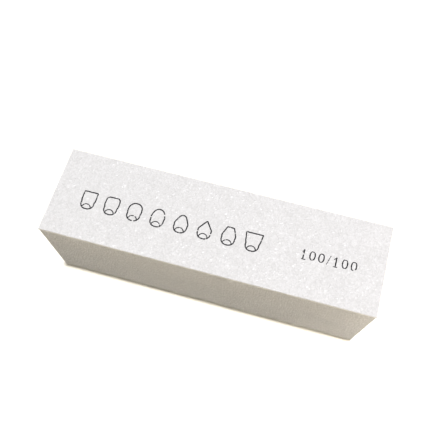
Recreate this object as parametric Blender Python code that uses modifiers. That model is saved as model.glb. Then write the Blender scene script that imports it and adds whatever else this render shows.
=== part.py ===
"""Nail buffer block: a bar of soft EVA foam with a strip of 100-grit abrasive paper glued along
each of its four long sides. The two ends are sawn through all the layers at once and stay bare.

X runs along the block, +Z is the printed face, and the origin is under the middle of the block, on
the surface that it lies on. Every strip is three layers: a film of adhesive against the foam, the
latex paper, and the coat of white abrasive grain in resin.
"""

from math import radians

import bmesh
import bpy

# Finished size of the block over the grit, in metres.
LENGTH = 0.0900
WIDTH = 0.0256
HEIGHT = 0.0256

# The layers of one strip, from the foam outwards.
GLUE_THICK = 0.00012
PAPER_THICK = 0.00022
GRIT_THICK = 0.00030

# Layers that are bonded face to face keep this clearance, and so do the long edges of a side strip
# where they butt under the strips above and below it.
BOND_GAP = 0.00005

# The saw presses the foam, which springs back this far short of the paper at each end.
FOAM_SPRING_BACK = 0.00020

# The outer arris of a grit coat breaks away to this radius. It is held by the coat's thickness.
ARRIS = 0.00015
ARRIS_SHARE_OF_COAT = 0.6
ARRIS_SEGMENTS = 3

# Quarter turns about X that bring a strip's outward side, +Z as made, round to its own side.
TURNS = {"top": 0.0, "front": 90.0, "bottom": 180.0, "back": -90.0}

FOAM_WHITE = (0.86, 0.86, 0.84)
ADHESIVE_CLEAR = (0.80, 0.77, 0.66)
LATEX_PAPER = (0.83, 0.82, 0.78)
WHITE_GRIT = (0.84, 0.84, 0.82)


def strip_build_up():
    """From the surface of the foam to the outside of the grit."""
    layers = (GLUE_THICK, PAPER_THICK, GRIT_THICK)
    return sum(BOND_GAP + thick for thick in layers)


CORE_WIDTH = WIDTH - 2 * strip_build_up()
CORE_HEIGHT = HEIGHT - 2 * strip_build_up()


def clear_scene():
    for obj in list(bpy.data.objects):
        bpy.data.objects.remove(obj, do_unlink=True)


def new_collection(name):
    collection = bpy.data.collections.new(name)
    bpy.context.scene.collection.children.link(collection)
    return collection


def new_material(name, colour, roughness):
    """A dielectric finish in one colour."""
    material = bpy.data.materials.new(name)
    material.use_nodes = True
    shader = material.node_tree.nodes["Principled BSDF"]
    shader.inputs["Base Color"].default_value = (*colour, 1.0)
    shader.inputs["Roughness"].default_value = roughness
    shader.inputs["Metallic"].default_value = 0.0
    material.diffuse_color = (*colour, 1.0)
    return material


def add_slab(name, size, collection, material, parent=None, height=0.0):
    """A flat layer centred over its parent's origin, with its lower face at the given height."""
    bpy.ops.mesh.primitive_cube_add(size=1.0)
    slab = bpy.context.object
    slab.name = name
    slab.data.name = name
    slab.scale = size
    bpy.ops.object.transform_apply(location=False, rotation=False, scale=True)
    for owner in list(slab.users_collection):
        owner.objects.unlink(slab)
    collection.objects.link(slab)
    slab.parent = parent
    slab.location = (0.0, 0.0, height + size[2] / 2)
    slab.data.materials.append(material)
    return slab


def round_outer_arris(slab, radius):
    """Rounds the four edges of the slab's upper face, and leaves the edges that meet the paper sharp."""
    mesh = bmesh.new()
    mesh.from_mesh(slab.data)
    weight = mesh.edges.layers.float.new("bevel_weight_edge")
    for edge in mesh.edges:
        edge[weight] = float(all(vert.co.z > 0 for vert in edge.verts))
    mesh.to_mesh(slab.data)
    mesh.free()
    bevel = slab.modifiers.new("broken arris", "BEVEL")
    bevel.limit_method = "WEIGHT"
    bevel.width = radius
    bevel.segments = ARRIS_SEGMENTS


def add_strip(side, centre, reach, width, collection, materials):
    """One abrasive strip: its layers lie on a plane at the given reach from the block's axis."""
    parent = bpy.data.objects.new(f"{side}_strip", None)
    parent.empty_display_size = WIDTH / 2
    parent.location = (0.0, 0.0, HEIGHT / 2)
    parent.rotation_euler = (radians(TURNS[side]), 0.0, 0.0)
    parent.parent = centre
    collection.objects.link(parent)
    layers = (
        ("glue_film", GLUE_THICK, materials["glue"]),
        ("backing_paper", PAPER_THICK, materials["paper"]),
        ("grit_coat", GRIT_THICK, materials["grit"]),
    )
    height = reach
    for kind, thick, material in layers:
        height += BOND_GAP
        slab = add_slab(
            f"{kind}_{side}", (LENGTH, width, thick), collection, material, parent, height
        )
        height += thick
    round_outer_arris(slab, min(ARRIS, ARRIS_SHARE_OF_COAT * GRIT_THICK))


def build():
    clear_scene()
    collection = new_collection("nail_buffer_block")
    materials = {
        "foam": new_material("white EVA foam, sawn", FOAM_WHITE, 0.85),
        "glue": new_material("acrylic adhesive film", ADHESIVE_CLEAR, 0.35),
        "paper": new_material("latex paper, cut edge", LATEX_PAPER, 0.80),
        "grit": new_material("white aluminium oxide in resin", WHITE_GRIT, 0.75),
    }
    centre = bpy.data.objects.new("buffer_block", None)
    centre.empty_display_size = HEIGHT
    collection.objects.link(centre)

    core_size = (LENGTH - 2 * FOAM_SPRING_BACK, CORE_WIDTH, CORE_HEIGHT)
    core_base = (HEIGHT - CORE_HEIGHT) / 2
    add_slab("foam_core", core_size, collection, materials["foam"], centre, core_base)

    # The strips above and below run the full width. The side strips stand between them, as wide
    # as the foam is high, so that all four corners close with one clearance.
    for side in ("top", "bottom"):
        add_strip(side, centre, CORE_HEIGHT / 2, WIDTH, collection, materials)
    for side in ("front", "back"):
        add_strip(side, centre, CORE_WIDTH / 2, CORE_HEIGHT, collection, materials)


build()
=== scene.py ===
"""Looks of a four-sided nail buffer block: the foam, the glued paper strips, their coats of white
grit and the marks printed on the top, each modelled over its solid in the frame."""

from contextlib import contextmanager
from math import radians

import bmesh
import bpy
import numpy as np
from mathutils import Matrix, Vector


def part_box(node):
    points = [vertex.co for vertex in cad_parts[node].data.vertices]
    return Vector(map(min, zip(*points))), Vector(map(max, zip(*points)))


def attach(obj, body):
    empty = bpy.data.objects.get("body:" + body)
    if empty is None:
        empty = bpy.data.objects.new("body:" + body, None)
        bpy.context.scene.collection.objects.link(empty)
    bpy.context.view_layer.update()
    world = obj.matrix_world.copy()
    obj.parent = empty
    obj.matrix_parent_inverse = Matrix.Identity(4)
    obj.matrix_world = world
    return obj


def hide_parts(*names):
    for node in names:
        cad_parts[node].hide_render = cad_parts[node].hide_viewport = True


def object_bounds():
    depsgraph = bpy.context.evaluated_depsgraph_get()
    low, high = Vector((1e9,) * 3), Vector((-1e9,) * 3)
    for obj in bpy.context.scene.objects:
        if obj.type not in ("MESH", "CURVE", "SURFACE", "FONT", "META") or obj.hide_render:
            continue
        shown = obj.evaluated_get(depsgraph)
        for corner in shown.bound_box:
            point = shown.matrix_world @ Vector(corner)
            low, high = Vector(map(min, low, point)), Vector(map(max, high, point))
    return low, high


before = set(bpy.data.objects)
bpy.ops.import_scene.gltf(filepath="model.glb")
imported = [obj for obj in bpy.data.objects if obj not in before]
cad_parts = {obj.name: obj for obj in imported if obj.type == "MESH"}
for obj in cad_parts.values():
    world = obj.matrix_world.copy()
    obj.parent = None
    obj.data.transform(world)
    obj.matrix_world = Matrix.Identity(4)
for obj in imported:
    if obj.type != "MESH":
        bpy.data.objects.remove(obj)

bl_info = {
    "name": "Nail buffer block",
    "version": (1, 0, 0),
    "blender": (4, 5, 0),
    "location": "3D View > Sidebar > Buffer block",
    "description": "Builds a foam nail buffer block with four grit faces, piece by piece",
    "category": "Add Mesh",
}

MM = 0.001
CAD_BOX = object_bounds()
BODY = "root"

# Quarter turns about X that bring a layer modelled flat, outward side up, round to its own side.
TURNS = {"top": 0.0, "front": 90.0, "bottom": 180.0, "back": -90.0}

# Clear space left between two bonded layers, which keeps their faces from lying in one plane.
SKIN = 0.005 * MM

# How much of a printed line the ink misses, in percent: the part where the grit is deepest.
INK_MISSED = 4

# Where the prints lie on the top: the left end and the middle line of the nail shapes, and the
# middle of the grit numbers.
NAIL_ROW_START = -37.1 * MM
NAIL_ROW_LINE = -1.35 * MM
NUMBERS_PLACE = (30.48 * MM, -1.1 * MM)


# Sizes and finishes ------------------------------------------------------------------------------


class BufferSizes(bpy.types.PropertyGroup):
    """Sizes of the surface detail. The block's own sizes come from its frame."""

    grain: bpy.props.FloatProperty(
        name="Grain spacing",
        description="Between the grit's high points. 100 grit is 0.16 mm, drawn coarser so that it shows",
        default=0.5 * MM,
        unit="LENGTH",
    )
    grain_depth: bpy.props.FloatProperty(
        name="Grain depth",
        description="From the tips of the grains down to the resin between them",
        default=0.15 * MM,
        unit="LENGTH",
    )
    clump: bpy.props.FloatProperty(
        name="Clump spacing",
        description="Between the places where the grit lies thicker",
        default=0.9 * MM,
        unit="LENGTH",
    )
    clump_depth: bpy.props.FloatProperty(
        name="Clump depth",
        description="How much lower the coat lies between its clumps",
        default=0.05 * MM,
        unit="LENGTH",
    )
    facet: bpy.props.FloatProperty(
        name="Grit facet",
        description="Side of the small faces that the grains are modelled with",
        default=0.17 * MM,
        unit="LENGTH",
    )
    arris: bpy.props.FloatProperty(
        name="Broken arris",
        description="Radius that the outer edges of a grit coat are worn to",
        default=0.13 * MM,
        unit="LENGTH",
    )
    foam_cell: bpy.props.FloatProperty(
        name="Foam cell",
        description="Size of the closed cells that the saw opens at the ends",
        default=0.4 * MM,
        unit="LENGTH",
    )
    cell_depth: bpy.props.FloatProperty(
        name="Cell depth",
        description="Depth of an opened cell",
        default=0.08 * MM,
        unit="LENGTH",
    )
    cut_wander: bpy.props.FloatProperty(
        name="Cut wander",
        description="How far the cut edge of the paper wanders inwards. The glue wanders further",
        default=0.05 * MM,
        unit="LENGTH",
    )
    cut_facet: bpy.props.FloatProperty(
        name="Cut facet",
        description="Length of the small faces that a cut edge is modelled with",
        default=0.3 * MM,
        unit="LENGTH",
    )
    ink_line: bpy.props.FloatProperty(
        name="Ink line",
        description="Width of a printed line",
        default=0.33 * MM,
        unit="LENGTH",
    )
    ink_film: bpy.props.FloatProperty(
        name="Ink film",
        description="Thickness of the dried ink on the grains",
        default=0.008 * MM,
        unit="LENGTH",
    )
    ink_facet: bpy.props.FloatProperty(
        name="Ink facet",
        description="Side of the small faces that let the ink follow the grains",
        default=0.11 * MM,
        unit="LENGTH",
    )
    nail: bpy.props.FloatProperty(
        name="Nail width",
        description="Width of one printed nail shape",
        default=4.2 * MM,
        unit="LENGTH",
    )
    nail_gap: bpy.props.FloatProperty(
        name="Nail gap",
        description="Clear space between two printed nail shapes",
        default=2.3 * MM,
        unit="LENGTH",
    )
    digit: bpy.props.FloatProperty(
        name="Digit height",
        description="Height of the printed grit numbers",
        default=2.7 * MM,
        unit="LENGTH",
    )


class BufferFinishes(bpy.types.PropertyGroup):
    """Colours of the finishes, as sRGB hex values."""

    grit: bpy.props.StringProperty(
        name="Grit", description="Tips of the white aluminium oxide grains", default="#D9D7D6"
    )
    # Darker than the grit, partly as the resin's own colour and partly as painted shade in the hollows.
    resin: bpy.props.StringProperty(
        name="Resin", description="Stearate-filled resin in the hollows between grains", default="#CECCCA"
    )
    paper: bpy.props.StringProperty(
        name="Paper", description="Latex-soaked backing paper", default="#F3F0E8"
    )
    glue: bpy.props.StringProperty(
        name="Glue", description="Acrylic adhesive film", default="#E8E4D8"
    )
    foam: bpy.props.StringProperty(
        name="Foam", description="Sawn EVA foam", default="#F0F0ED"
    )
    # The inside of the opened cells is drawn darker: painted shade in the pits.
    painted_cell_shade: bpy.props.StringProperty(
        name="Foam cells", description="Inside of the opened cells", default="#DCDCD7"
    )
    ink: bpy.props.StringProperty(
        name="Ink", description="Dark grey printing ink", default="#1E1D20"
    )
    floor: bpy.props.StringProperty(
        name="Floor", description="Matt pale studio floor", default="#F2EEE3"
    )


def linear(hex_colour):
    """An sRGB hex colour as linear RGBA."""
    channels = [int(hex_colour[i : i + 2], 16) / 255 for i in (1, 3, 5)]
    return (*[c / 12.92 if c <= 0.04045 else ((c + 0.055) / 1.055) ** 2.4 for c in channels], 1.0)


def add_node(material, kind, inputs=None, **settings):
    """Adds a node. Each input takes a value, or the output socket that it is linked from."""
    node = material.node_tree.nodes.new(kind)
    for name, value in settings.items():
        setattr(node, name, value)
    for name, value in (inputs or {}).items():
        if isinstance(value, bpy.types.NodeSocket):
            material.node_tree.links.new(value, node.inputs[name])
        else:
            node.inputs[name].default_value = value
    return node


def grit_finish(sizes, finishes):
    """White fused alumina, 100 grit, scattered in resin and sealed with stearate: chalky, with a
    few bright crystal faces. Hollows between tips are darker: resin colour and painted shade."""
    material = bpy.data.materials.new("white fused alumina grit")
    material.use_nodes = True
    material.node_tree.nodes.clear()
    place = add_node(material, "ShaderNodeTexCoord").outputs["Object"]
    hollow = add_node(material, "ShaderNodeAttribute", attribute_name="hollow").outputs["Fac"]
    grains = add_node(
        material, "ShaderNodeTexVoronoi", {"Vector": place, "Scale": 1 / sizes.grain}
    ).outputs["Color"]
    shade = add_node(material, "ShaderNodeSeparateColor", {"Color": grains}).outputs
    # Uneven filling across the coat, in patches of some 5 mm.
    patches = add_node(
        material,
        "ShaderNodeTexNoise",
        {"Vector": place, "Scale": 1 / (5 * MM), "Detail": 3.0, "Roughness": 0.6},
    ).outputs["Fac"]
    # Deeper between the grains the colour goes over to the darker resin colour: partly the resin itself,
    # partly painted shade in the hollows.
    sunk = add_node(
        material,
        "ShaderNodeMapRange",
        {"Value": hollow, "From Min": 0.25, "From Max": 1.0, "To Min": 0.0, "To Max": 1.0},
    ).outputs["Result"]
    coat = add_node(
        material,
        "ShaderNodeMix",
        {0: sunk, 6: linear(finishes.grit), 7: linear(finishes.resin)},
        data_type="RGBA",
    ).outputs[2]
    grain_value = add_node(
        material,
        "ShaderNodeMapRange",
        {"Value": shade["Red"], "To Min": 0.98, "To Max": 1.015},
    ).outputs["Result"]
    patch_value = add_node(
        material,
        "ShaderNodeMapRange",
        {"Value": patches, "From Min": 0.3, "From Max": 0.7, "To Min": 0.985, "To Max": 1.01},
    ).outputs["Result"]
    value = add_node(
        material, "ShaderNodeMath", {0: grain_value, 1: patch_value}, operation="MULTIPLY"
    ).outputs[0]
    colour = add_node(
        material, "ShaderNodeHueSaturation", {"Color": coat, "Value": value}
    ).outputs["Color"]
    # One grain in a dozen shows a clean crystal face.
    glint = add_node(
        material,
        "ShaderNodeMapRange",
        {"Value": shade["Green"], "From Min": 0.90, "From Max": 0.94, "To Min": 0.82, "To Max": 0.38},
    ).outputs["Result"]
    # Lumps of the grains themselves: 0.16 mm on real 100 grit, drawn at 0.4 mm so that they show.
    lumps = add_node(
        material,
        "ShaderNodeTexNoise",
        {"Vector": place, "Scale": 1 / (0.4 * MM), "Detail": 2.0},
    ).outputs["Fac"]
    bump = add_node(
        material, "ShaderNodeBump", {"Height": lumps, "Strength": 1.0, "Distance": 0.16 * MM}
    ).outputs["Normal"]
    shader = add_node(
        material,
        "ShaderNodeBsdfPrincipled",
        {"Base Color": colour, "Roughness": glint, "Normal": bump, "IOR": 1.6},
    ).outputs["BSDF"]
    add_node(material, "ShaderNodeOutputMaterial", {"Surface": shader})
    return material


def foam_finish(sizes, finishes):
    """EVA foam, sawn: dry and matt, with cells of under half a millimetre and faint saw lines."""
    material = bpy.data.materials.new("sawn white EVA foam")
    material.use_nodes = True
    material.node_tree.nodes.clear()
    place = add_node(material, "ShaderNodeTexCoord").outputs["Object"]
    hollow = add_node(material, "ShaderNodeAttribute", attribute_name="hollow").outputs["Fac"]
    # The colour darkens with depth into the opened cells: painted shade.
    walls = add_node(
        material,
        "ShaderNodeMix",
        {0: hollow, 6: linear(finishes.foam), 7: linear(finishes.painted_cell_shade)},
        data_type="RGBA",
    ).outputs[2]
    # The saw travels down through the block and leaves lines about 1.5 mm apart.
    stretched = add_node(
        material, "ShaderNodeMapping", {"Vector": place, "Scale": (1.0, 1.0, 0.06)}
    ).outputs["Vector"]
    lines = add_node(
        material,
        "ShaderNodeTexNoise",
        {"Vector": stretched, "Scale": 1 / (1.5 * MM), "Detail": 2.0},
    ).outputs["Fac"]
    line_value = add_node(
        material,
        "ShaderNodeMapRange",
        {"Value": lines, "From Min": 0.3, "From Max": 0.7, "To Min": 0.97, "To Max": 1.02},
    ).outputs["Result"]
    colour = add_node(
        material, "ShaderNodeHueSaturation", {"Color": walls, "Value": line_value}
    ).outputs["Color"]
    # Small cells between the large ones.
    fine = add_node(
        material,
        "ShaderNodeTexVoronoi",
        {"Vector": place, "Scale": 1 / (0.18 * MM)},
    ).outputs["Distance"]
    bump = add_node(
        material, "ShaderNodeBump", {"Height": fine, "Strength": 0.5, "Distance": 0.04 * MM}
    ).outputs["Normal"]
    roughness = add_node(
        material, "ShaderNodeMapRange", {"Value": lines, "To Min": 0.84, "To Max": 0.96}
    ).outputs["Result"]
    shader = add_node(
        material,
        "ShaderNodeBsdfPrincipled",
        {"Base Color": colour, "Roughness": roughness, "Normal": bump, "IOR": 1.48},
    ).outputs["BSDF"]
    add_node(material, "ShaderNodeOutputMaterial", {"Surface": shader})
    return material


def paper_finish(finishes):
    """Latex-soaked paper, guillotined: creamy, with fibres that run along the block."""
    material = bpy.data.materials.new("latex paper with cut edge")
    material.use_nodes = True
    material.node_tree.nodes.clear()
    place = add_node(material, "ShaderNodeTexCoord").outputs["Object"]
    along = add_node(
        material, "ShaderNodeMapping", {"Vector": place, "Scale": (0.15, 1.0, 1.0)}
    ).outputs["Vector"]
    # Pulp fibres are some 0.03 mm thick, drawn at 0.1 mm so that they show.
    fibres = add_node(
        material,
        "ShaderNodeTexNoise",
        {"Vector": along, "Scale": 1 / (0.1 * MM), "Detail": 3.0, "Roughness": 0.7},
    ).outputs["Fac"]
    value = add_node(
        material,
        "ShaderNodeMapRange",
        {"Value": fibres, "From Min": 0.25, "From Max": 0.75, "To Min": 0.90, "To Max": 1.04},
    ).outputs["Result"]
    colour = add_node(
        material, "ShaderNodeHueSaturation", {"Color": linear(finishes.paper), "Value": value}
    ).outputs["Color"]
    bump = add_node(
        material, "ShaderNodeBump", {"Height": fibres, "Strength": 0.5, "Distance": 0.02 * MM}
    ).outputs["Normal"]
    roughness = add_node(
        material, "ShaderNodeMapRange", {"Value": fibres, "To Min": 0.72, "To Max": 0.92}
    ).outputs["Result"]
    shader = add_node(
        material,
        "ShaderNodeBsdfPrincipled",
        {"Base Color": colour, "Roughness": roughness, "Normal": bump, "IOR": 1.5},
    ).outputs["BSDF"]
    add_node(material, "ShaderNodeOutputMaterial", {"Surface": shader})
    return material


def glue_finish(finishes):
    """Acrylic adhesive film, squeezed out and cut: a dull yellowish line with picked-up dust."""
    material = bpy.data.materials.new("acrylic adhesive film")
    material.use_nodes = True
    material.node_tree.nodes.clear()
    place = add_node(material, "ShaderNodeTexCoord").outputs["Object"]
    dust = add_node(
        material,
        "ShaderNodeTexNoise",
        {"Vector": place, "Scale": 1 / (0.8 * MM), "Detail": 4.0, "Roughness": 0.65},
    ).outputs["Fac"]
    value = add_node(
        material,
        "ShaderNodeMapRange",
        {"Value": dust, "From Min": 0.3, "From Max": 0.7, "To Min": 0.86, "To Max": 1.04},
    ).outputs["Result"]
    colour = add_node(
        material, "ShaderNodeHueSaturation", {"Color": linear(finishes.glue), "Value": value}
    ).outputs["Color"]
    roughness = add_node(
        material, "ShaderNodeMapRange", {"Value": dust, "To Min": 0.28, "To Max": 0.62}
    ).outputs["Result"]
    shader = add_node(
        material,
        "ShaderNodeBsdfPrincipled",
        {"Base Color": colour, "Roughness": roughness, "IOR": 1.47},
    ).outputs["BSDF"]
    add_node(material, "ShaderNodeOutputMaterial", {"Surface": shader})
    return material


def ink_finish(finishes):
    """Dark grey ink, stamped: it takes unevenly on the grain, so it is greyer in places."""
    material = bpy.data.materials.new("stamped grey ink")
    material.use_nodes = True
    material.node_tree.nodes.clear()
    place = add_node(material, "ShaderNodeTexCoord").outputs["Object"]
    blots = add_node(
        material,
        "ShaderNodeTexNoise",
        {"Vector": place, "Scale": 1 / (0.6 * MM), "Detail": 3.0, "Roughness": 0.7},
    ).outputs["Fac"]
    value = add_node(
        material,
        "ShaderNodeMapRange",
        {"Value": blots, "From Min": 0.3, "From Max": 0.7, "To Min": 0.6, "To Max": 1.8},
    ).outputs["Result"]
    colour = add_node(
        material, "ShaderNodeHueSaturation", {"Color": linear(finishes.ink), "Value": value}
    ).outputs["Color"]
    roughness = add_node(
        material, "ShaderNodeMapRange", {"Value": blots, "To Min": 0.45, "To Max": 0.75}
    ).outputs["Result"]
    shader = add_node(
        material,
        "ShaderNodeBsdfPrincipled",
        {"Base Color": colour, "Roughness": roughness, "IOR": 1.5},
    ).outputs["BSDF"]
    add_node(material, "ShaderNodeOutputMaterial", {"Surface": shader})
    return material


# Modelling helpers -------------------------------------------------------------------------------


def only(piece):
    """Makes the piece the selected, active object."""
    bpy.ops.object.select_all(action="DESELECT")
    piece.select_set(True)
    bpy.context.view_layer.objects.active = piece


@contextmanager
def editing(piece, kind):
    """Edit mode on one piece, picking by VERT, EDGE or FACE."""
    only(piece)
    bpy.ops.object.mode_set(mode="EDIT")
    bpy.ops.mesh.select_mode(type=kind)
    yield
    bpy.ops.object.mode_set(mode="OBJECT")


def pick(piece, part, test):
    """In edit mode, selects just the faces, edges or verts that pass the test."""
    bpy.ops.mesh.select_all(action="DESELECT")
    mesh = bmesh.from_edit_mesh(piece.data)
    for element in getattr(mesh, part):
        if test(element):
            element.select_set(True)
    mesh.select_flush_mode()
    bmesh.update_edit_mesh(piece.data)


def apply_place(piece):
    """Fixes the piece's place, turn and scale into its points."""
    only(piece)
    bpy.ops.object.transform_apply(location=True, rotation=True, scale=True)


def apply_modifiers(piece):
    """Applies the piece's modifiers in their order."""
    only(piece)
    for modifier in list(piece.modifiers):
        bpy.ops.object.modifier_apply(modifier=modifier.name)


def points_of(piece):
    """The piece's points, as rows of x, y and z."""
    points = np.empty(len(piece.data.vertices) * 3, np.float32)
    piece.data.vertices.foreach_get("co", points)
    return points.reshape(-1, 3)


def write_attribute(piece, name, values):
    """Stores one value per point, for the finish to read."""
    attribute = piece.data.attributes.new(name, "FLOAT", "POINT")
    attribute.data.foreach_set("value", np.ascontiguousarray(values, np.float32))


def dress(piece, material, slot, *nodes):
    """Gives the piece its finish and its body, and hides the solids that it stands for."""
    piece.data.materials.clear()
    piece.data.materials.append(material)
    piece.data.name = piece.name
    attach(piece, BODY)
    if nodes:
        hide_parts(*nodes)


class Layer:
    """Where one layer of a strip lies. It is modelled flat, its outward side at z = 0, and then
    turned about X and moved so that its outward side comes to the layer's outer plane."""

    def __init__(self, kind, side):
        self.node = f"{kind}_{side}"
        self.turn = radians(TURNS[side])
        low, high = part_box(self.node)
        size = high - low
        middle = (low + high) / 2
        flat = side in ("top", "bottom")
        self.length = size.x
        self.width = size.y if flat else size.z
        self.thick = size.z if flat else size.y
        self.out = {
            "top": Vector((0, 0, 1)),
            "bottom": Vector((0, 0, -1)),
            "front": Vector((0, -1, 0)),
            "back": Vector((0, 1, 0)),
        }[side]
        self.face = middle + self.out * self.thick / 2

    def reach(self):
        """Distance of the outer plane from the origin, along the outward direction."""
        return self.face.dot(self.out)


def add_sheet(name, length, width, facet):
    """A flat sheet of nearly square facets on z = 0."""
    bpy.ops.object.select_all(action="DESELECT")
    bpy.ops.mesh.primitive_grid_add(
        x_subdivisions=round(length / facet), y_subdivisions=round(width / facet), size=1.0
    )
    sheet = bpy.context.object
    sheet.name = name
    sheet.scale = (length, width, 1.0)
    apply_place(sheet)
    return sheet


def thicken_sheet(sheet, thick):
    """Draws the rim of the sheet down and closes it underneath."""
    with editing(sheet, "EDGE"):
        bpy.ops.mesh.select_all(action="SELECT")
        bpy.ops.mesh.region_to_loop()
        bpy.ops.mesh.extrude_edges_move(TRANSFORM_OT_translate={"value": (0.0, 0.0, -thick)})
        bpy.ops.mesh.edge_face_add()
        bpy.ops.mesh.select_all(action="SELECT")
        bpy.ops.mesh.normals_make_consistent(inside=False)


def put_on_side(piece, layer, sink=0.0):
    """Turns a flat layer round to its side, its outward side sunk a little under the outer plane."""
    piece.rotation_euler.x = layer.turn
    piece.location = layer.face - layer.out * sink
    apply_place(piece)


def voronoi(name, spacing, intensity):
    """A texture of cells, dark in the middle and lighter towards their walls."""
    texture = bpy.data.textures.new(name, "VORONOI")
    texture.noise_scale = spacing
    texture.noise_intensity = intensity
    return texture


def clouds(name, spacing, contrast=1.0):
    """A texture of soft patches."""
    texture = bpy.data.textures.new(name, "CLOUDS")
    texture.noise_scale = spacing
    texture.contrast = contrast
    return texture


def add_relief(piece, texture, depth, group="", sink_dark=False):
    """Sinks the surface, or the group's part of it, by up to this depth where the texture is
    light, or else where it is dark."""
    relief = piece.modifiers.new(texture.name, "DISPLACE")
    relief.texture = texture
    relief.texture_coords = "LOCAL"
    relief.direction = "NORMAL"
    relief.strength = depth if sink_dark else -depth
    relief.mid_level = 1.0 if sink_dark else 0.0
    relief.vertex_group = group


def add_cut_layer(name, layer, under, wander, facet):
    """A thin layer that also fills the bond gap under it. Its cut edges wander inwards: the rim
    alone is drawn first, as a band, so that its normals lie in the layer's plane."""
    bpy.ops.object.select_all(action="DESELECT")
    bpy.ops.mesh.primitive_plane_add(size=1.0)
    piece = bpy.context.object
    piece.name = name
    piece.scale = (layer.length, layer.width, 1.0)
    apply_place(piece)
    with editing(piece, "EDGE"):
        bpy.ops.mesh.select_all(action="SELECT")
        bpy.ops.mesh.delete(type="ONLY_FACE")
        for axis, size in ((0, layer.length), (1, layer.width)):
            pick(
                piece,
                "edges",
                lambda edge: abs(edge.verts[0].co[axis] - edge.verts[1].co[axis]) > size / 2,
            )
            bpy.ops.mesh.subdivide(number_cuts=round(size / facet) - 1)
        bpy.ops.mesh.select_all(action="SELECT")
        bpy.ops.mesh.extrude_edges_move(
            TRANSFORM_OT_translate={"value": (0.0, 0.0, -layer.thick - under)}
        )
        bpy.ops.mesh.select_all(action="SELECT")
        bpy.ops.mesh.normals_make_consistent(inside=False)
    put_on_side(piece, layer)
    # The blade's wander repeats over some 2.5 mm.
    add_relief(piece, clouds("cut wander", 2.5 * MM), wander)
    apply_modifiers(piece)
    middle = layer.reach() - layer.thick / 2
    with editing(piece, "EDGE"):
        for upper in (True, False):
            pick(piece, "verts", lambda vert: (vert.co.dot(layer.out) > middle) == upper)
            bpy.ops.mesh.edge_face_add()
        bpy.ops.mesh.select_all(action="SELECT")
        bpy.ops.mesh.normals_make_consistent(inside=False)
    return piece


# Pieces ------------------------------------------------------------------------------------------


class BUFFER_OT_foam_bar(bpy.types.Operator):
    """Saws the foam bar: both ends open up cells, the sides stay plain under the strips"""

    bl_idname = "buffer.foam_bar"
    bl_label = "Foam bar"

    def execute(self, context):
        sizes = context.scene.buffer_sizes
        low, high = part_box("foam_core")
        bpy.ops.object.select_all(action="DESELECT")
        bpy.ops.mesh.primitive_cube_add(size=1.0, location=(low + high) / 2)
        bar = context.object
        bar.name = "foam_bar"
        bar.scale = high - low
        apply_place(bar)
        with editing(bar, "FACE"):
            pick(bar, "faces", lambda face: abs(face.normal.x) > 0.9)
            # Cut in twelve each way and then in twelve again: end facets under half a cell wide.
            for _ in range(2):
                bpy.ops.mesh.subdivide(number_cuts=11)
        # The rim stays put, so that the sides stay flat under the strips.
        to_edge = np.array(high - low) / 2 - np.abs(points_of(bar) - np.array(low + high) / 2)
        inside = (to_edge[:, 0] < SKIN) & (to_edge[:, 1:].min(axis=1) > SKIN)
        ends = bar.vertex_groups.new(name="sawn ends")
        ends.add([int(i) for i in np.flatnonzero(inside)], 1.0, "REPLACE")
        cells = voronoi("opened cells", sizes.foam_cell, intensity=1.5)
        add_relief(bar, cells, sizes.cell_depth, ends.name, sink_dark=True)
        apply_modifiers(bar)
        # Depth into the opened cells, which the finish turns into painted shade.
        depth = high.x - np.abs(points_of(bar)[:, 0])
        write_attribute(bar, "hollow", np.clip(depth / sizes.cell_depth, 0.0, 1.0) * inside)
        with editing(bar, "FACE"):
            bpy.ops.mesh.select_all(action="SELECT")
            bpy.ops.mesh.normals_make_consistent(inside=False)
        dress(bar, foam_finish(sizes, context.scene.buffer_finishes), "foam", "foam_core")
        return {"FINISHED"}


class BUFFER_OT_backing_papers(bpy.types.Operator):
    """Cuts the four backing papers, with edges that the guillotine leaves a little uneven"""

    bl_idname = "buffer.backing_papers"
    bl_label = "Backing papers"

    def execute(self, context):
        sizes = context.scene.buffer_sizes
        finish = paper_finish(context.scene.buffer_finishes)
        for side in TURNS:
            paper = Layer("backing_paper", side)
            film = Layer("glue_film", side)
            under = paper.reach() - paper.thick - film.reach() - SKIN
            piece = add_cut_layer(
                f"paper_{side}", paper, under, sizes.cut_wander, sizes.cut_facet
            )
            dress(piece, finish, "paper", paper.node)
        return {"FINISHED"}


class BUFFER_OT_glue_films(bpy.types.Operator):
    """Spreads the four adhesive films, drawn back a little from the cut edges"""

    bl_idname = "buffer.glue_films"
    bl_label = "Glue films"

    def execute(self, context):
        sizes = context.scene.buffer_sizes
        finish = glue_finish(context.scene.buffer_finishes)
        wander = 2.5 * sizes.cut_wander
        # The gap down to the foam is the same on all four sides.
        top = Layer("glue_film", "top")
        under = top.reach() - top.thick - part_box("foam_core")[1].z - SKIN
        for side in TURNS:
            film = Layer("glue_film", side)
            piece = add_cut_layer(f"glue_{side}", film, under, wander, sizes.cut_facet)
            dress(piece, finish, "glue", film.node)
        return {"FINISHED"}


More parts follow.
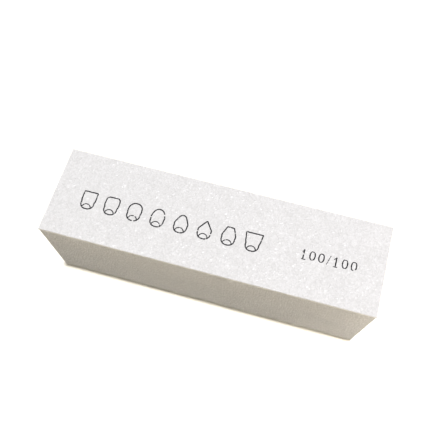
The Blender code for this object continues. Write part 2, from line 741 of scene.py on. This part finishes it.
class BUFFER_OT_grit_coats(bpy.types.Operator):
    """Coats the four strips with grit: every grain tip stands up out of the resin"""

    bl_idname = "buffer.grit_coats"
    bl_label = "Grit coats"

    def execute(self, context):
        sizes = context.scene.buffer_sizes
        finish = grit_finish(sizes, context.scene.buffer_finishes)
        for side in TURNS:
            self.coat(side, sizes, finish)
        return {"FINISHED"}

    def coat(self, side, sizes, finish):
        """One coat: a sheet of small facets with its outer edges worn, sunk into grains."""
        layer = Layer("grit_coat", side)
        paper = Layer("backing_paper", side)
        gap = layer.reach() - layer.thick - paper.reach()
        # The highest tips stay under the coat's plane, which leaves room for the ink.
        sink = 3 * SKIN
        coat = add_sheet(f"grit_{side}", layer.length, layer.width, sizes.facet)
        thicken_sheet(coat, layer.thick - sink + gap - SKIN)
        with editing(coat, "EDGE"):
            pick(
                coat,
                "edges",
                lambda edge: edge.calc_face_angle(0.0) > radians(60.0)
                and all(vert.co.z > -SKIN for vert in edge.verts),
            )
            bpy.ops.mesh.bevel(offset=sizes.arris, segments=2, affect="EDGES")
        # The grain goes half way down the edges.
        above = points_of(coat)[:, 2] > -0.5 * layer.thick
        group = coat.vertex_groups.new(name="grain")
        group.add([int(i) for i in np.flatnonzero(above)], 1.0, "REPLACE")
        put_on_side(coat, layer, sink)
        grains = voronoi("grains", sizes.grain, intensity=1.1)
        clumps = clouds("clumps", sizes.clump, contrast=1.8)
        add_relief(coat, grains, sizes.grain_depth, group.name)
        add_relief(coat, clumps, sizes.clump_depth, group.name)
        apply_modifiers(coat)
        out = np.array(layer.out, np.float32)
        # Depth under the tips, which the finish turns into resin colour and painted shade.
        depth = layer.reach() - sink - points_of(coat) @ out
        write_attribute(coat, "hollow", np.clip(depth / sizes.grain_depth, 0.0, 1.0))
        dress(coat, finish, "grit", layer.node)


def cut_small(piece, pitch):
    """Cuts a flat piece into small facets, so that it can follow the grain."""
    points = points_of(piece)
    low, high = points.min(axis=0), points.max(axis=0)
    with editing(piece, "FACE"):
        for axis in (0, 1):
            across = Vector((axis == 0, axis == 1, 0))
            for place in np.arange(low[axis] + pitch / 2, high[axis], pitch):
                bpy.ops.mesh.select_all(action="SELECT")
                bpy.ops.mesh.bisect(plane_co=across * float(place), plane_no=across)


def print_on_grit(piece, sizes):
    """Lays a flat drawing on the top coat as ink: it takes on the grains and skips the hollows."""
    apply_place(piece)
    cut_small(piece, sizes.ink_facet)
    wrap = piece.modifiers.new("lie on the grains", "SHRINKWRAP")
    wrap.target = bpy.data.objects["grit_top"]
    wrap.wrap_method = "PROJECT"
    wrap.use_project_z = True
    wrap.use_negative_direction = True
    wrap.use_positive_direction = False
    wrap.wrap_mode = "ABOVE_SURFACE"
    wrap.offset = 0.5 * SKIN
    apply_modifiers(piece)
    missed = np.percentile(points_of(piece)[:, 2], INK_MISSED)
    with editing(piece, "FACE"):
        pick(piece, "faces", lambda face: face.calc_center_median().z < missed)
        bpy.ops.mesh.delete(type="FACE")
    film = piece.modifiers.new("ink film", "SOLIDIFY")
    film.solidify_mode = "NON_MANIFOLD"
    film.thickness = sizes.ink_film
    film.offset = 1.0
    apply_modifiers(piece)


def join(pieces, name):
    """Joins drawn parts into one piece of this name."""
    bpy.ops.object.select_all(action="DESELECT")
    for piece in pieces:
        piece.select_set(True)
    bpy.context.view_layer.objects.active = pieces[0]
    bpy.ops.object.join()
    pieces[0].name = name
    return pieces[0]


def inset_to_line(piece, width):
    """Keeps only a line of this width along the rim of a flat face."""
    with editing(piece, "FACE"):
        bpy.ops.mesh.select_all(action="SELECT")
        bpy.ops.mesh.inset(thickness=width, depth=0.0)
        bpy.ops.mesh.delete(type="FACE")


class BUFFER_OT_nail_row(bpy.types.Operator):
    """Prints a chart of eight nail shapes in a row on the top, tips up"""

    bl_idname = "buffer.nail_row"
    bl_label = "Printed nail shapes"

    def execute(self, context):
        sizes = context.scene.buffer_sizes
        # Width of each shape's tip and how far the tip is rounded, as shares of the nail's width:
        # square, squoval, round, oval, almond, peak, ballerina, flare.
        shapes = (
            (0.96, 0.06), (0.94, 0.24), (0.82, 0.37), (0.60, 0.29),
            (0.36, 0.17), (0.08, 0.03), (0.48, 0.05), (1.16, 0.06),
        )
        length = 1.3 * sizes.nail
        middle = NAIL_ROW_START + sizes.nail / 2
        drawn = []
        for tip, round_off in shapes:
            drawn += self.draw_nail(middle, length, sizes.nail, tip, round_off, sizes.ink_line)
            middle += sizes.nail + sizes.nail_gap
        row = join(drawn, "print_nail_row")
        row.location = (0.0, NAIL_ROW_LINE, Layer("grit_coat", "top").reach() + MM)
        print_on_grit(row, sizes)
        dress(row, ink_finish(context.scene.buffer_finishes), "grit")
        return {"FINISHED"}

    def draw_nail(self, middle, length, width, tip, round_off, line):
        """Outline with a round root, straight sides to half way and then its own tip; and the
        half moon at the root."""
        # Shares of the width, but of the length for the sides and of the line for the moon's line.
        root_width, root_round, side_round = 0.96, 0.44, 0.1
        moon_radius, moon_rise, moon_cut, moon_line = 0.32, 0.1, 0.12, 0.8
        # A hexagon with its corners on a circle 1 wide is 0.866 wide across its flats.
        flats = 0.866
        bpy.ops.object.select_all(action="DESELECT")
        bpy.ops.mesh.primitive_circle_add(vertices=6, radius=0.5, fill_type="NGON")
        outline = bpy.context.object
        outline.rotation_euler.z = radians(30.0)
        apply_place(outline)
        outline.scale = (width, length / flats, 1.0)
        outline.location.x = middle
        apply_place(outline)
        near = 0.1 * length
        with editing(outline, "VERT"):
            # Pairs of corners: tip, sides, root. At tip and root a pair stands half a width apart.
            for place, spread, rounding in (
                (length / 2, 2.0 * tip, round_off * width),
                (0.0, 1.0, side_round * length),
                (-length / 2, 2.0 * root_width, root_round * width),
            ):
                pick(outline, "verts", lambda vert: abs(vert.co.y - place) < near)
                bpy.ops.transform.resize(
                    value=(spread, 1.0, 1.0), center_override=(middle, place, 0.0)
                )
                bpy.ops.mesh.bevel(offset=rounding, segments=7, affect="VERTICES")
        inset_to_line(outline, line)
        bpy.ops.object.select_all(action="DESELECT")
        root = -length / 2
        bpy.ops.mesh.primitive_circle_add(
            vertices=48,
            radius=moon_radius * width,
            fill_type="NGON",
            location=(middle, root + moon_rise * width, 0.0),
        )
        moon = bpy.context.object
        apply_place(moon)
        inset_to_line(moon, moon_line * line)
        with editing(moon, "FACE"):
            bpy.ops.mesh.select_all(action="SELECT")
            bpy.ops.mesh.bisect(
                plane_co=(middle, root + moon_cut * width, 0.0),
                plane_no=(0.0, 1.0, 0.0),
                clear_inner=True,
            )
        return [outline, moon]


class BUFFER_OT_grit_marks(bpy.types.Operator):
    """Prints the grit numbers of the faces at the right of the top"""

    bl_idname = "buffer.grit_marks"
    bl_label = "Printed grit numbers"

    def execute(self, context):
        sizes = context.scene.buffer_sizes
        # In the built-in font a figure is 0.7 as high as the font's size.
        figure_share = 0.7
        bpy.ops.object.select_all(action="DESELECT")
        bpy.ops.object.text_add()
        text = context.object
        text.data.body = "100/100"
        text.data.size = sizes.digit / figure_share
        # Thinner strokes, set wider apart, than the font has them.
        text.data.space_character = 1.205
        text.data.offset = -0.03 * MM
        text.data.align_x = "CENTER"
        text.data.align_y = "CENTER"
        only(text)
        bpy.ops.object.convert(target="MESH")
        drawn = [context.object]
        # The font's figure one is a bare stroke, so each of the two gets a foot and a flag.
        foot_y, foot_length = -0.48 * sizes.digit, 1.1 * MM
        flag_y, flag_length, flag_back, flag_turn = 0.36 * sizes.digit, 0.8 * MM, 0.3 * MM, 40.0
        for one in (-6.37 * MM, 1.91 * MM):
            drawn.append(self.draw_bar(one, foot_y, foot_length, 0.0))
            drawn.append(self.draw_bar(one - flag_back, flag_y, flag_length, flag_turn))
        marks = join(drawn, "print_grit_marks")
        marks.location = (*NUMBERS_PLACE, Layer("grit_coat", "top").reach() + MM)
        print_on_grit(marks, sizes)
        dress(marks, ink_finish(context.scene.buffer_finishes), "grit")
        return {"FINISHED"}

    def draw_bar(self, x, y, length, turn):
        """The foot or the flag of a figure one, turned by these degrees."""
        width = 0.22 * MM
        bpy.ops.object.select_all(action="DESELECT")
        bpy.ops.mesh.primitive_plane_add(size=1.0, location=(x, y, 0.0))
        bar = bpy.context.object
        bar.scale = (length, width, 1.0)
        bar.rotation_euler.z = radians(turn)
        apply_place(bar)
        return bar


class BUFFER_OT_stage(bpy.types.Operator):
    """Sets the floor, the soft lights, the pale surround and the camera"""

    bl_idname = "buffer.stage"
    bl_label = "Stage"

    def execute(self, context):
        self.add_floor(context)
        self.add_lights()
        self.add_backdrop(context)
        self.add_camera(context)
        context.scene.view_settings.view_transform = "Standard"
        # A low gamma deepens the shaded sides, while the floor stays white.
        context.scene.view_settings.gamma = 0.78
        return {"FINISHED"}

    def add_floor(self, context):
        """A floor 40 m across, so that its edge lies at the horizon."""
        bpy.ops.object.select_all(action="DESELECT")
        bpy.ops.mesh.primitive_circle_add(vertices=96, radius=20.0, fill_type="NGON")
        floor = context.object
        floor.name = "floor"
        material = bpy.data.materials.new("matt studio floor")
        material.use_nodes = True
        shader = material.node_tree.nodes["Principled BSDF"]
        shader.inputs["Base Color"].default_value = linear(context.scene.buffer_finishes.floor)
        shader.inputs["Roughness"].default_value = 0.9
        floor.data.materials.append(material)

    def add_lights(self):
        """An even light from almost straight above, a lamp up on the right, a long strip just in
        front that rakes down the near side and a small card by the right end."""
        front = CAD_BOX[0].y
        top = CAD_BOX[1].z
        above = (0.03, 0.016, 1.2)
        overhead = self.add_light("overhead light", "SUN", above, (0.0, 0.0, 0.0), 4.42, "#FCFDFF")
        overhead.angle = 0.09
        panels = (
            # Name, place, aim, width and depth in metres, power in watts, colour
            (
                "right lamp",
                (0.15, 0.0, 0.12),
                (0.03, 0.0, top),
                (0.06, 0.06),
                0.03,
                "#FFF2F2",
            ),
            (
                "near strip",
                (0.0, front - 11.2 * MM, top + 0.6 * MM),
                (0.0, front, 0.018),
                (0.11, 0.003),
                0.0015,
                "#FFEED2",
            ),
            (
                "right card",
                (0.06, front - 15.2 * MM, 0.018),
                (0.046, front, 0.013),
                (0.01, 0.01),
                0.0023,
                "#FFF7EC",
            ),
        )
        for name, place, aim, size, power, colour in panels:
            panel = self.add_light(name, "AREA", place, aim, power, colour)
            panel.shape = "RECTANGLE"
            panel.size, panel.size_y = size

    def add_light(self, name, kind, place, aim, power, colour):
        """Puts up one light and turns it towards its aim."""
        bpy.ops.object.light_add(type=kind, location=place)
        light = bpy.context.object
        light.name = name
        light.data.energy = power
        light.data.color = linear(colour)[:3]
        light.rotation_euler = (Vector(aim) - Vector(place)).to_track_quat("-Z", "Y").to_euler()
        return light.data

    def add_backdrop(self, context):
        """A pale surround that is seen but gives no light, so the lights alone shape the block."""
        world = bpy.data.worlds.new("pale surround")
        context.scene.world = world
        world.use_nodes = True
        world.node_tree.nodes["Background"].inputs["Color"].default_value = (1.0, 1.0, 1.0, 1.0)
        world.cycles_visibility.diffuse = False
        world.cycles_visibility.glossy = False

    def add_camera(self, context):
        """A 39 mm lens held close over the front and turned, so that the block runs down to the
        right. The shift sets it off the middle of the picture."""
        bpy.ops.object.camera_add(
            location=(0.0158, -0.0536, 0.1397), rotation=(0.3268, 0.0053, 0.2761)
        )
        camera = context.object
        camera.data.lens = 39.0
        camera.data.sensor_width = 36.0
        camera.data.shift_x = 0.014
        camera.data.shift_y = 0.154
        camera.data.clip_start = 0.01
        context.scene.camera = camera


class BUFFER_PT_block(bpy.types.Panel):
    """Lists the steps that make the block, and the sizes and colours they use"""

    bl_idname = "BUFFER_PT_block"
    bl_label = "Nail buffer block"
    bl_space_type = "VIEW_3D"
    bl_region_type = "UI"
    bl_category = "Buffer block"

    def draw(self, context):
        for group in (context.scene.buffer_sizes, context.scene.buffer_finishes):
            column = self.layout.column(align=True)
            for name in group.__annotations__:
                column.prop(group, name)
        column = self.layout.column(align=True)
        for step in STEPS:
            column.operator(step.bl_idname)


STEPS = (
    BUFFER_OT_foam_bar,
    BUFFER_OT_glue_films,
    BUFFER_OT_backing_papers,
    BUFFER_OT_grit_coats,
    BUFFER_OT_nail_row,
    BUFFER_OT_grit_marks,
    BUFFER_OT_stage,
)
CLASSES = (BufferSizes, BufferFinishes, *STEPS, BUFFER_PT_block)


def register():
    for kind in CLASSES:
        bpy.utils.register_class(kind)
    bpy.types.Scene.buffer_sizes = bpy.props.PointerProperty(type=BufferSizes)
    bpy.types.Scene.buffer_finishes = bpy.props.PointerProperty(type=BufferFinishes)


def unregister():
    del bpy.types.Scene.buffer_finishes
    del bpy.types.Scene.buffer_sizes
    for kind in reversed(CLASSES):
        bpy.utils.unregister_class(kind)


def main():
    register()
    bpy.ops.buffer.foam_bar()
    bpy.ops.buffer.glue_films()
    bpy.ops.buffer.backing_papers()
    bpy.ops.buffer.grit_coats()
    bpy.ops.buffer.nail_row()
    bpy.ops.buffer.grit_marks()
    bpy.ops.buffer.stage()


if __name__ == "__main__":
    main()
